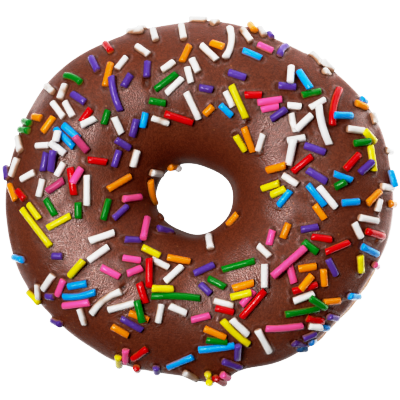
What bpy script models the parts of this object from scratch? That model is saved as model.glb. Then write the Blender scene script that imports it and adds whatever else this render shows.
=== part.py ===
"""A frosted ring doughnut: a fried ring of yeast dough under a cap of chocolate frosting.

Metres, +Z up. The origin is on the resting plane, below the middle of the object's box.
"turn" is the angle round the ring: 0 is +X and 90 degrees is +Y.
"roll" is the angle round the ring's section: 0 is the outer waist, 90 degrees is the top, 180 degrees is
the waist inside the hole and 270 degrees is the foot that the doughnut rests on.
"""

import math

import bmesh
import bpy
from mathutils import Vector

MM = 0.001

# The dough ring. Its waist is the widest level, and the narrowest of the hole.
RING_WIDTH = 87.4 * MM
RING_DEPTH = 81.0 * MM
HOLE_WIDTH = 20.2 * MM
HOLE_DEPTH = 19.0 * MM
WAIST_HEIGHT = 12.5 * MM
DOME_HEIGHT = 15.0 * MM
FOOT_WIDTH = 13.0 * MM
DOME_FULLNESS = 2.2  # the power of the upper section's superellipse, where 2 is a plain ellipse

# The frosting cap. It keeps clear of the dough by the seat, so that the two solids never touch.
FROSTING_THICKNESS = 1.3 * MM
FROSTING_SEAT = 0.3 * MM
LIP_ROUNDING = 1.6 * MM
BEAD_HEIGHT = 0.25 * MM
BEAD_FROM_LIP = 2.6 * MM
BEAD_WIDTH = 1.4 * MM
OUTER_LIP_ROLL = math.radians(14.5)
INNER_LIP_ROLL = math.radians(176)

# The one thick drip of frosting on the outer side, where the lip also hangs lower.
DRIP_TURN = math.radians(273.5)
DRIP_HALF_TURN = math.radians(8)
DRIP_HEIGHT = 2.1 * MM
DRIP_REACH = 6 * MM
DRIP_LIP_DROP = math.radians(10)

# The unevenness of hand-shaped dough and poured frosting: (waves round the ring, height, turn of a crest).
OUTLINE_WAVES = (
    (1, 1.45 * MM, math.radians(122)),
    (2, 0.5 * MM, math.radians(2)),
    (3, 0.2 * MM, math.radians(26)),
    (4, 0.3 * MM, math.radians(33)),
    (5, 0.15 * MM, math.radians(14)),
    (6, 0.2 * MM, math.radians(14)),
    (7, 0.2 * MM, math.radians(-17)),
    (8, 0.15 * MM, math.radians(-14)),
)
HOLE_WAVES = (
    (1, 2.2 * MM, math.radians(144)),
    (2, 0.27 * MM, math.radians(-33)),
    (3, 0.34 * MM, math.radians(24)),
    (4, 0.13 * MM, math.radians(29)),
    (5, 0.17 * MM, math.radians(-28)),
)
DOME_WAVES = (
    (1, 0.5 * MM, math.radians(100)),
    (2, 0.4 * MM, math.radians(30)),
    (5, 0.2 * MM, math.radians(80)),
)
OUTER_LIP_WAVES = (
    (1, math.radians(3), math.radians(-32)),
    (3, math.radians(2.5), math.radians(50)),
    (7, math.radians(2.2), math.radians(20)),
    (12, math.radians(1.4), math.radians(8)),
)
INNER_LIP_WAVES = (
    (2, math.radians(2.5), math.radians(60)),
    (3, math.radians(2), math.radians(10)),
    (5, math.radians(1.5), math.radians(35)),
)

# How finely the two solids are faceted.
TURN_STEPS = 64
DOME_STEPS = 14
CORNER_STEPS = 6
FROSTING_STEPS = 17


def waves(turn, listed):
    """The sum of the listed waves at this turn."""
    return sum(height * math.cos(count * (turn - crest)) for count, height, crest in listed)


def dripping(turn):
    """How much of the drip there is at this turn: a bell curve of the way round from its middle."""
    away = (turn - DRIP_TURN + math.pi) % math.tau - math.pi
    return math.exp(-((away / DRIP_HALF_TURN) ** 2))


def ellipse_radius(turn, width, depth):
    """How far an ellipse's edge is from its centre in the direction of turn."""
    return 1 / math.hypot(2 * math.cos(turn) / width, 2 * math.sin(turn) / depth)


def signed_power(value, power):
    """value's size raised to power, with value's sign."""
    return math.copysign(abs(value) ** power, value)


def in_world(turn, across, height):
    """The point at this distance from the Z axis and this height, at this turn."""
    return Vector((across * math.cos(turn), across * math.sin(turn), height))


class Section:
    """The dough's section at one turn: a superellipse above the waist, rounded corners and a flat foot below."""

    def __init__(self, turn):
        outer = ellipse_radius(turn, RING_WIDTH, RING_DEPTH) + waves(turn, OUTLINE_WAVES)
        hole = ellipse_radius(turn, HOLE_WIDTH, HOLE_DEPTH) + waves(turn, HOLE_WAVES)
        self.turn = turn
        self.middle = (outer + hole) / 2
        self.half = (outer - hole) / 2
        self.dome = DOME_HEIGHT + waves(turn, DOME_WAVES)

    def on_dome(self, roll):
        """Across and height of the upper surface at this roll, and the unit normal there."""
        reach = signed_power(math.cos(roll), 2 / DOME_FULLNESS)
        rise = signed_power(math.sin(roll), 2 / DOME_FULLNESS)
        slope = DOME_FULLNESS - 1
        normal = Vector((signed_power(reach, slope) / self.half, signed_power(rise, slope) / self.dome))
        return Vector((self.middle + self.half * reach, WAIST_HEIGHT + self.dome * rise)), normal.normalized()

    def on_corner(self, roll):
        """Across and height of a lower corner at this roll, and the unit normal there."""
        side = math.copysign(1, math.cos(roll))
        corner = self.half - FOOT_WIDTH / 2
        across = self.middle + side * FOOT_WIDTH / 2 + corner * math.cos(roll)
        normal = Vector((math.cos(roll) / corner, math.sin(roll) / WAIST_HEIGHT))
        return Vector((across, WAIST_HEIGHT * (1 + math.sin(roll)))), normal.normalized()

    def raised(self, roll, by):
        """The world point that stands this far off the dough at this roll."""
        upper = math.sin(roll) >= 0
        point, normal = self.on_dome(roll) if upper else self.on_corner(roll)
        across, height = point + normal * by
        return in_world(self.turn, across, height)

    def foot_edge(self, side):
        """The end of the flat foot, on the outer side (1) or the hole's side (-1)."""
        return in_world(self.turn, self.middle + side * FOOT_WIDTH / 2, 0)


def dough_loop(turn):
    """The dough's section as a closed loop of points: over the dome, down the hole's side, along the foot and up."""
    section = Section(turn)
    dome = [section.raised(math.pi * step / DOME_STEPS, 0) for step in range(DOME_STEPS + 1)]
    quarter = [math.pi / 2 * step / CORNER_STEPS for step in range(1, CORNER_STEPS)]
    hole_corner = [section.raised(math.pi + angle, 0) for angle in quarter]
    outer_corner = [section.raised(1.5 * math.pi + angle, 0) for angle in quarter]
    return [*dome, *hole_corner, section.foot_edge(-1), section.foot_edge(1), *outer_corner]


def frosting_thickness(from_lip, drip):
    """The frosting's thickness at this distance from its nearer lip: a rounded edge, a low bead, then even.

    The drip comes on top of it.
    """
    short_of_full = 1 - min(1, max(0, from_lip / LIP_ROUNDING))
    rounding = math.sqrt(1 - short_of_full**2)
    bead = BEAD_HEIGHT * math.exp(-(((from_lip - BEAD_FROM_LIP) / BEAD_WIDTH) ** 2))
    return (FROSTING_THICKNESS + bead + drip) * rounding


def frosting_loop(turn):
    """The frosting's section as a closed loop of points: its skin from lip to lip, then its underside back."""
    section = Section(turn)
    outer_lip = OUTER_LIP_ROLL + waves(turn, OUTER_LIP_WAVES) - DRIP_LIP_DROP * dripping(turn)
    inner_lip = INNER_LIP_ROLL + waves(turn, INNER_LIP_WAVES)
    skin, underside = [], []
    for step in range(FROSTING_STEPS + 1):
        # Cosine spacing sets the stations closer together towards both lips, where the skin bends most.
        share = (1 - math.cos(math.pi * step / FROSTING_STEPS)) / 2
        roll = outer_lip + share * (inner_lip - outer_lip)
        above_lip = (roll - outer_lip) * section.half
        from_lip = min(above_lip, (inner_lip - roll) * section.half)
        drip = DRIP_HEIGHT * dripping(turn) * math.exp(-((above_lip / DRIP_REACH) ** 2))
        skin.append(section.raised(roll, FROSTING_SEAT + frosting_thickness(from_lip, drip)))
        underside.append(section.raised(roll, FROSTING_SEAT))
    return skin + underside[-2:0:-1]


def ring_loops(loop_at):
    """One loop of points for each turn round the ring."""
    return [loop_at(math.tau * step / TURN_STEPS) for step in range(TURN_STEPS)]


def box_middle(loops):
    """The middle, in X and Y, of the box round all these points."""
    xs = [point.x for loop in loops for point in loop]
    ys = [point.y for loop in loops for point in loop]
    return Vector(((min(xs) + max(xs)) / 2, (min(ys) + max(ys)) / 2, 0))


def food_material(name, colour, roughness):
    """A plain Principled material for one sub-part."""
    material = bpy.data.materials.new(name)
    material.use_nodes = True
    shader = material.node_tree.nodes["Principled BSDF"]
    shader.inputs["Base Color"].default_value = (*colour, 1)
    shader.inputs["Roughness"].default_value = roughness
    shader.inputs["Metallic"].default_value = 0
    return material


def ring_object(name, loops, origin, material):
    """A closed ring: each loop is joined to the next by quads, and the last to the first."""
    form = bmesh.new()
    rows = [[form.verts.new(point - origin) for point in loop] for loop in loops]
    for row, following in zip(rows, rows[1:] + rows[:1]):
        for side in range(len(row)):
            last = side - 1
            form.faces.new((row[last], following[last], following[side], row[side]))
    bmesh.ops.recalc_face_normals(form, faces=form.faces)
    mesh = bpy.data.meshes.new(name)
    form.to_mesh(mesh)
    form.free()
    mesh.shade_smooth()
    mesh.set_sharp_from_angle(angle=math.radians(50))
    mesh.materials.append(material)
    made = bpy.data.objects.new(name, mesh)
    bpy.context.scene.collection.objects.link(made)
    return made


def main():
    for old in list(bpy.data.objects):
        bpy.data.objects.remove(old)
    dough = ring_loops(dough_loop)
    frosting = ring_loops(frosting_loop)
    origin = box_middle(dough + frosting)
    ring_object("dough", dough, origin, food_material("fried_dough", (0.55, 0.27, 0.08), 0.6))
    ring_object("frosting", frosting, origin, food_material("chocolate_frosting", (0.13, 0.03, 0.012), 0.35))


main()
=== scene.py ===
"""Looks of a sprinkle frosted ring doughnut: its fried dough, its chocolate frosting and its sugar sprinkles.

Sizes are in millimetres until a mesh is made. "turn" is the angle round the ring, where 0 is +X and a quarter
is +Y. "roll" is the angle round the ring's section: 0 is the outer waist, a quarter is the top and a half is
the waist inside the hole.
"""

import logging
import math
from dataclasses import dataclass, field
from enum import Enum
from typing import Any

import bpy
import numpy as np
from mathutils import Matrix, Vector


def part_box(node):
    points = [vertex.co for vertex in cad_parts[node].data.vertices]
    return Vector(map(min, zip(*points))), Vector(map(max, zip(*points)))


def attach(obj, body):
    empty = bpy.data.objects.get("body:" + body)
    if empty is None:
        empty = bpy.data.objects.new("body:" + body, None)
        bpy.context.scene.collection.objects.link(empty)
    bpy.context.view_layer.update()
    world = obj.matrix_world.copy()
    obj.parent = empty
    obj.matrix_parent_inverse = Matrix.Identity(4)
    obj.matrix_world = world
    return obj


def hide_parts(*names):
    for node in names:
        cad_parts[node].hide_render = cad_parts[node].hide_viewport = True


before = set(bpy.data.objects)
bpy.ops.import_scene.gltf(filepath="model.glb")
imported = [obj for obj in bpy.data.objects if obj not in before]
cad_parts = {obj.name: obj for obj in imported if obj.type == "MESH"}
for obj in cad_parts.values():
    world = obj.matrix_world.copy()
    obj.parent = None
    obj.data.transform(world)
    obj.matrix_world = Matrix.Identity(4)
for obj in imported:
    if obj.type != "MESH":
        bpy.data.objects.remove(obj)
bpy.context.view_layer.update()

MM = 0.001
Array = np.ndarray
log = logging.getLogger("doughnut")


def linear(colour: str) -> tuple[float, float, float, float]:
    """Turns an sRGB hex colour into linear values.

    Formula: each part over 12.92 below 0.04045, and otherwise ((part + 0.055) / 1.055) to the power 2.4.

    Args:
        colour: six hex digits with or without a leading #.

    Returns:
        Linear red, green and blue, and an alpha of 1.
    """
    digits = colour.lstrip("#")
    parts = [int(digits[at : at + 2], 16) / 255 for at in (0, 2, 4)]
    red, green, blue = (p / 12.92 if p <= 0.04045 else ((p + 0.055) / 1.055) ** 2.4 for p in parts)
    return red, green, blue, 1.0


def signed_power(value: Array, power: float) -> Array:
    """Raises the size of each value to the power, and keeps its sign."""
    return np.sign(value) * np.abs(value) ** power


def smooth_step(value: Array, low: float, high: float) -> Array:
    """Goes from 0 at low to 1 at high along 3 t squared less 2 t cubed."""
    share = np.clip((value - low) / (high - low), 0, 1)
    return share * share * (3 - 2 * share)


def unit(vectors: Array) -> Array:
    """Scales each vector along the last axis to a length of 1."""
    return vectors / np.maximum(np.linalg.norm(vectors, axis=-1, keepdims=True), 1e-9)


@dataclass(frozen=True)
class Unevenness:
    """Smooth unevenness in space: a sum of plane waves in random directions, of about one length.

    Attributes:
        length: how far apart its crests are, in mm.
        seed: which unevenness of this length it is.
        count: how many waves are summed.
    """

    length: float
    seed: int
    count: int = 28

    def at(self, points: Array) -> Array:
        """Gives the unevenness at each point, from about -1 to 1.

        Formula: the sum of sin(k . p + phase) over the waves, times the root of 2 over their count, over 2,
        where each k points anywhere and is as long as tau over 0.7 to 1.4 times the crest distance.

        Args:
            points: places in mm, with x, y and z along the last axis.

        Returns:
            One value for each point.
        """
        dice = np.random.default_rng(self.seed)
        ways = unit(dice.normal(size=(self.count, 3)))
        ways *= (2 * math.pi / (self.length * dice.uniform(0.7, 1.4, self.count)))[:, None]
        phases = dice.uniform(0, 2 * math.pi, self.count)
        return np.sin(points @ ways.T + phases).sum(axis=-1) * math.sqrt(2 / self.count) / 2


@dataclass(frozen=True)
class Wave:
    """One wave of unevenness round the ring.

    Attributes:
        count: how many crests it has round the ring.
        height: how high a crest is, in mm, or in degrees for a lip.
        crest: the turn of one crest, in degrees.
    """

    count: int
    height: float
    crest: float

    def at(self, turn: Array) -> Array:
        """The wave's height at each turn: height times the cosine of count times (turn less crest)."""
        return self.height * np.cos(self.count * (turn - math.radians(self.crest)))


def summed(waves: tuple[Wave, ...], turn: Array) -> Array:
    """Adds up the waves at each turn."""
    return sum((wave.at(turn) for wave in waves), np.zeros_like(turn))


@dataclass(frozen=True)
class RingForm:
    """The doughnut's solid form, worked out the same way as the CAD solids, for whole arrays of points."""

    width: float = 87.4
    depth: float = 81.0
    hole_width: float = 20.2
    hole_depth: float = 19.0
    waist: float = 12.5
    dome: float = 15.0
    foot: float = 13.0
    fullness: float = 2.2
    thickness: float = 1.3
    seat: float = 0.3
    rounding: float = 1.6
    bead: float = 0.25
    bead_from_lip: float = 2.6
    bead_width: float = 1.4
    outer_lip: float = 14.5
    inner_lip: float = 176.0
    outline: tuple[Wave, ...] = (
        Wave(1, 1.45, 122),
        Wave(2, 0.5, 2),
        Wave(3, 0.2, 26),
        Wave(4, 0.3, 33),
        Wave(5, 0.15, 14),
        Wave(6, 0.2, 14),
        Wave(7, 0.2, -17),
        Wave(8, 0.15, -14),
    )
    hole: tuple[Wave, ...] = (
        Wave(1, 2.2, 144),
        Wave(2, 0.27, -33),
        Wave(3, 0.34, 24),
        Wave(4, 0.13, 29),
        Wave(5, 0.17, -28),
    )
    domes: tuple[Wave, ...] = (Wave(1, 0.5, 100), Wave(2, 0.4, 30), Wave(5, 0.2, 80))
    outer_lips: tuple[Wave, ...] = (Wave(1, 3, -32), Wave(3, 2.5, 50), Wave(7, 2.2, 20), Wave(12, 1.4, 8))
    inner_lips: tuple[Wave, ...] = (Wave(2, 2.5, 60), Wave(3, 2, 10), Wave(5, 1.5, 35))
    drip_turn: float = 273.5
    drip_half: float = 8.0
    drip: float = 2.1
    drip_down: float = 6.0
    drip_drop: float = 10.0
    shift: tuple[float, float] = (0.0, 0.0)

    def layout_origin(self) -> tuple[float, float]:
        """Where the sprinkle layout's own zero is: 0.86 mm to the left of the ring's axis and 0.87 mm behind it."""
        return -0.86 - self.shift[0], 0.87 - self.shift[1]

    def section(self, turn: Array) -> tuple[Array, Array, Array]:
        """Sizes of the section at each turn.

        Formula: an ellipse's radius, 1 over the length of (2 cos turn / width, 2 sin turn / depth), plus the
        waves, gives the outline and the hole's edge. The middle is their mean and the half their half difference.

        Args:
            turn: the angles round the ring.

        Returns:
            How far the section's middle is from the axis, half its width, and the dome's height.
        """
        cosine, sine = np.cos(turn), np.sin(turn)
        outer = 1 / np.hypot(2 * cosine / self.width, 2 * sine / self.depth) + summed(self.outline, turn)
        inner = 1 / np.hypot(2 * cosine / self.hole_width, 2 * sine / self.hole_depth) + summed(self.hole, turn)
        return (outer + inner) / 2, (outer - inner) / 2, self.dome + summed(self.domes, turn)

    def dripping(self, turn: Array) -> Array:
        """How much of the one thick drip there is at each turn: a bell curve of the way round from its middle."""
        away = (np.degrees(turn) - self.drip_turn + 180) % 360 - 180
        return np.exp(-((away / self.drip_half) ** 2))

    def lips(self, turn: Array) -> tuple[Array, Array]:
        """The rolls of the frosting's outer and inner lips at each turn."""
        outer = np.radians(self.outer_lip + summed(self.outer_lips, turn) - self.drip_drop * self.dripping(turn))
        inner = np.radians(self.inner_lip + summed(self.inner_lips, turn))
        return outer, inner

    def profile(self, turn: Array, roll: Array) -> tuple[Array, Array, Array, Array]:
        """The dough's surface at each turn and roll, in its own section.

        Formula: above the waist a superellipse, where reach and rise are the cosine and sine to the power
        2 / fullness. Below it a quarter ellipse from the waist to the edge of the flat foot. The normal is the
        gradient of the same curve.

        Args:
            turn: the angles round the ring.
            roll: the angles round the section.

        Returns:
            Distance from the axis, height, and the normal's two parts.
        """
        turn, roll = np.broadcast_arrays(turn, roll)
        middle, half, dome = self.section(turn)
        cosine, sine = np.cos(roll), np.sin(roll)
        reach, rise = signed_power(cosine, 2 / self.fullness), signed_power(sine, 2 / self.fullness)
        slope = self.fullness - 1
        corner = half - self.foot / 2
        upper = sine >= 0
        across = np.where(
            upper, middle + half * reach, middle + np.sign(cosine) * self.foot / 2 + corner * cosine
        )
        height = np.where(upper, self.waist + dome * rise, self.waist * (1 + sine))
        out = np.where(upper, signed_power(reach, slope) / half, cosine / corner)
        up = np.where(upper, signed_power(rise, slope) / dome, sine / self.waist)
        length = np.hypot(out, up)
        return across, height, out / length, up / length

    def placed(self, turn: Array, across: Array, height: Array) -> Array:
        """Points in the shared frame from turn, distance from the ring's axis and height."""
        turn, across, height = np.broadcast_arrays(turn, across, height)
        return np.stack(
            (across * np.cos(turn) - self.shift[0], across * np.sin(turn) - self.shift[1], height), axis=-1
        )

    def raised(self, turn: Array, roll: Array, by: Array | float) -> Array:
        """The points that stand this far off the dough, along its normal."""
        across, height, out, up = self.profile(turn, roll)
        return self.placed(turn, across + out * by, height + up * by)

    def normals(self, turn: Array, roll: Array) -> Array:
        """The dough's unit normals in space."""
        _, _, out, up = self.profile(turn, roll)
        turn = np.broadcast_to(turn, out.shape)
        return np.stack((out * np.cos(turn), out * np.sin(turn), up), axis=-1)

    def cover(self, turn: Array, roll: Array) -> Array:
        """How far the frosting's skin stands off the dough.

        Formula: the seat, plus the thickness, a low bead behind the lip and the drip down the outer side (bell
        curves of the distance from the lip), all times the quarter circle that rounds the lip.

        Args:
            turn: the angles round the ring.
            roll: the angles round the section.

        Returns:
            The distance along the normal in mm.
        """
        turn, roll = np.broadcast_arrays(turn, roll)
        outer, inner = self.lips(turn)
        _, half, _ = self.section(turn)
        from_lip = np.minimum(roll - outer, inner - roll) * half
        short = 1 - np.clip(from_lip / self.rounding, 0, 1)
        bead = self.bead * np.exp(-(((from_lip - self.bead_from_lip) / self.bead_width) ** 2))
        drip = self.drip * self.dripping(turn) * np.exp(-(((roll - outer) * half / self.drip_down) ** 2))
        return self.seat + (self.thickness + bead + drip) * np.sqrt(1 - short**2)

    def under(self, plan: Array, off: float, margin: float = 0.0) -> tuple[Array, Array]:
        """Finds where on the frosting a place in plan is.

        Formula: the distance from the axis of the frosting's skin, raised by off, falls steadily as roll grows,
        so halving the span of rolls 40 times finds the roll at which it equals the place's own distance.

        Args:
            plan: x and y in mm, along the last axis.
            off: how far above the skin the looked-for surface is.
            margin: how far, in radians of roll, to stay from both lips.

        Returns:
            The turns and the rolls.
        """
        x, y = plan[..., 0] + self.shift[0], plan[..., 1] + self.shift[1]
        turn, wanted = np.arctan2(y, x), np.hypot(x, y)
        low, high = self.lips(turn)
        low, high = low + margin, high - margin
        for _ in range(40):
            middle = (low + high) / 2
            across, _, out, _ = self.profile(turn, middle)
            beyond = across + out * (self.cover(turn, middle) + off) > wanted
            low, high = np.where(beyond, middle, low), np.where(beyond, high, middle)
        return turn, (low + high) / 2

    def on_frosting(self, turn: Array, roll: Array, off: Array | float = 0.0) -> Array:
        """The points this far above the frosting's skin."""
        return self.raised(turn, roll, self.cover(turn, roll) + off)


def fitted_form() -> RingForm:
    """The form moved to where the CAD dough is: its own box and the dough node's box get the same middle."""
    low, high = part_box("dough")
    form = RingForm()
    turn = np.linspace(0, 2 * math.pi, 721)
    outline = form.raised(turn, np.zeros_like(turn), 0.0)
    middle = (outline.min(axis=0) + outline.max(axis=0)) / 2
    cad = [(low[axis] + high[axis]) / 2 / MM for axis in (0, 1)]
    return RingForm(shift=(float(middle[0] - cad[0]), float(middle[1] - cad[1])))


# ---------------------------------------------------------------------------------------------------------
# Meshes
# ---------------------------------------------------------------------------------------------------------


def closed_grid(rows: int, columns: int) -> Array:
    """Quads of a grid that closes on itself both ways, as a ring does.

    Args:
        rows: how many rows of points, each joined to the next and the last to the first.
        columns: how many points in a row, closed likewise.

    Returns:
        Four point numbers for each quad, turning so that the face looks along (next row) x (next column).
    """
    number = np.arange(rows * columns).reshape(rows, columns)
    ahead, aside = np.roll(number, -1, axis=0), np.roll(number, -1, axis=1)
    both = np.roll(ahead, -1, axis=1)
    return np.stack((number, ahead, both, aside), axis=-1).reshape(-1, 4)


def piece_from(name: str, points: Array, faces: list[Array], material: bpy.types.Material) -> bpy.types.Object:
    """Makes a smooth mesh piece in the shared frame.

    Args:
        name: the piece's name.
        points: its points in mm, with x, y and z along the last axis.
        faces: arrays of faces, each with its own number of corners.
        material: its finish.

    Returns:
        The new object, at the origin, riding on the root body.
    """
    flat = points.reshape(-1, 3) * MM
    corners = np.concatenate([block.ravel() for block in faces]).astype(np.int32)
    sizes = np.concatenate([np.full(len(block), block.shape[1]) for block in faces]).astype(np.int32)
    mesh = bpy.data.meshes.new(name)
    mesh.vertices.add(len(flat))
    mesh.vertices.foreach_set("co", flat.ravel().astype(np.float32))
    mesh.loops.add(len(corners))
    mesh.loops.foreach_set("vertex_index", corners)
    mesh.polygons.add(len(sizes))
    mesh.polygons.foreach_set("loop_start", np.concatenate(([0], np.cumsum(sizes)[:-1])).astype(np.int32))
    mesh.update(calc_edges=True)
    mesh.validate()
    mesh.shade_smooth()
    mesh.materials.append(material)
    piece = bpy.data.objects.new(name, mesh)
    bpy.context.scene.collection.objects.link(piece)
    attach(piece, "root")
    log.info("%s: %d points, %d triangles", name, len(flat), int((sizes - 2).sum()))
    return piece


def give_marks(piece: bpy.types.Object, marks: Array) -> None:
    """Stores up to four values a point as the colour attribute "marks", which the piece's material reads.

    Args:
        piece: the mesh piece.
        marks: one to three values for each point, along the last axis.
    """
    marks = marks.reshape(len(piece.data.vertices), -1)
    full = np.ones((len(marks), 4), np.float32)
    full[:, :3] = 0
    full[:, : marks.shape[1]] = marks
    made = piece.data.color_attributes.new("marks", "FLOAT_COLOR", "POINT")
    made.data.foreach_set("color", full.ravel())


# ---------------------------------------------------------------------------------------------------------
# Finishes
# ---------------------------------------------------------------------------------------------------------


def add_node(tree: bpy.types.NodeTree, kind: str, inputs: dict[Any, Any] | None = None, **settings: Any) -> Any:
    """Adds a node with its settings, and fills or links its inputs.

    Args:
        tree: the node tree.
        kind: the node's type without "ShaderNode".
        inputs: for each input name or number, a plain value or the output socket to link from.
        settings: the node's own properties.

    Returns:
        The new node.
    """
    node = tree.nodes.new("ShaderNode" + kind)
    for name, value in settings.items():
        setattr(node, name, value)
    for name, value in (inputs or {}).items():
        socket = node.inputs[name]
        if isinstance(value, bpy.types.NodeSocket):
            tree.links.new(value, socket)
        else:
            socket.default_value = value
    return node


def ramp(node: Any, stops: list[tuple[float, str]]) -> Any:
    """Sets a colour ramp's stops.

    Args:
        node: a Color Ramp node.
        stops: place from 0 to 1 and sRGB hex colour of each stop, in order.

    Returns:
        The ramp's colour output.
    """
    elements = node.color_ramp.elements
    while len(elements) < len(stops):
        elements.new(0.5)
    for element, (place, colour) in zip(elements, stops):
        element.position, element.color = place, linear(colour)
    return node.outputs["Color"]


def new_material(name: str) -> tuple[bpy.types.Material, bpy.types.NodeTree, Any]:
    """Makes a material with a Principled shader.

    Args:
        name: the real material's name.

    Returns:
        The material, its node tree and the shader.
    """
    material = bpy.data.materials.new(name)
    material.use_nodes = True
    tree = material.node_tree
    tree.nodes.clear()
    shader = add_node(tree, "BsdfPrincipled")
    add_node(tree, "OutputMaterial", {"Surface": shader.outputs[0]})
    return material, tree, shader


@dataclass(frozen=True)
class FriedCrust:
    """Yeast dough fried in oil: golden brown where the oil held it, pale where it floated clear of the oil."""

    pale: str = "D6A868"
    golden: str = "B8742F"
    brown: str = "8E4F1C"
    roughness: float = 0.55

    def made(self) -> bpy.types.Material:
        """Builds the material.

        The colour runs up the side by height, from the brown foot over gold to the pale band at the waist, and
        its edges wander. Fine pores and shallow wrinkles of the fried skin are bump.

        Returns:
            The material.
        """
        material, tree, shader = new_material("fried_yeast_dough")
        place = add_node(tree, "TexCoord").outputs["Object"]
        height = add_node(tree, "SeparateXYZ", {0: place}).outputs["Z"]
        # Cloudy browning, 9 mm across.
        cloud = add_node(tree, "TexNoise", {"Vector": place, "Scale": 110.0, "Detail": 4.0, "Roughness": 0.6})
        # Blisters and speckles of the crust, about 1.6 mm across.
        speckle = add_node(tree, "TexNoise", {"Vector": place, "Scale": 620.0, "Detail": 3.0, "Roughness": 0.65})
        wander = add_node(
            tree, "Math", {0: cloud.outputs[0], 1: 0.009, 2: height}, operation="MULTIPLY_ADD"
        ).outputs[0]
        level = add_node(
            tree, "MapRange", {"Value": wander, "From Min": 0.003, "From Max": 0.0215}
        ).outputs["Result"]
        band = ramp(
            add_node(tree, "ValToRGB", {"Fac": level}),
            [
                (0.0, self.brown),
                (0.14, self.golden),
                (0.34, "C98F4C"),
                (0.48, self.pale),
                (0.6, self.pale),
                (0.76, "BF7A35"),
                (1.0, "A3591F"),
            ],
        )
        spots = ramp(
            add_node(tree, "ValToRGB", {"Fac": speckle.outputs[0]}),
            [(0.3, "B9A58E"), (0.5, "F2EEE8"), (0.72, "FFFFFF")],
        )
        mixed = add_node(
            tree,
            "Mix",
            {0: 0.75, 6: band, 7: spots},
            data_type="RGBA",
            blend_type="MULTIPLY",
        )
        tree.links.new(mixed.outputs[2], shader.inputs["Base Color"])
        pores = add_node(tree, "TexNoise", {"Vector": place, "Scale": 1500.0, "Detail": 3.0, "Roughness": 0.6})
        lumps = add_node(
            tree, "Bump", {"Height": speckle.outputs[0], "Distance": 0.0005, "Strength": 0.55}
        )
        fine = add_node(
            tree,
            "Bump",
            {"Height": pores.outputs[0], "Distance": 0.0002, "Strength": 0.5, "Normal": lumps.outputs[0]},
        )
        tree.links.new(fine.outputs[0], shader.inputs["Normal"])
        shine = add_node(
            tree, "MapRange", {"Value": cloud.outputs[0], "To Min": self.roughness - 0.1, "To Max": 0.66}
        )
        tree.links.new(shine.outputs["Result"], shader.inputs["Roughness"])
        shader.inputs["IOR"].default_value = 1.45
        shader.inputs["Subsurface Weight"].default_value = 0.0
        return material


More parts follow.
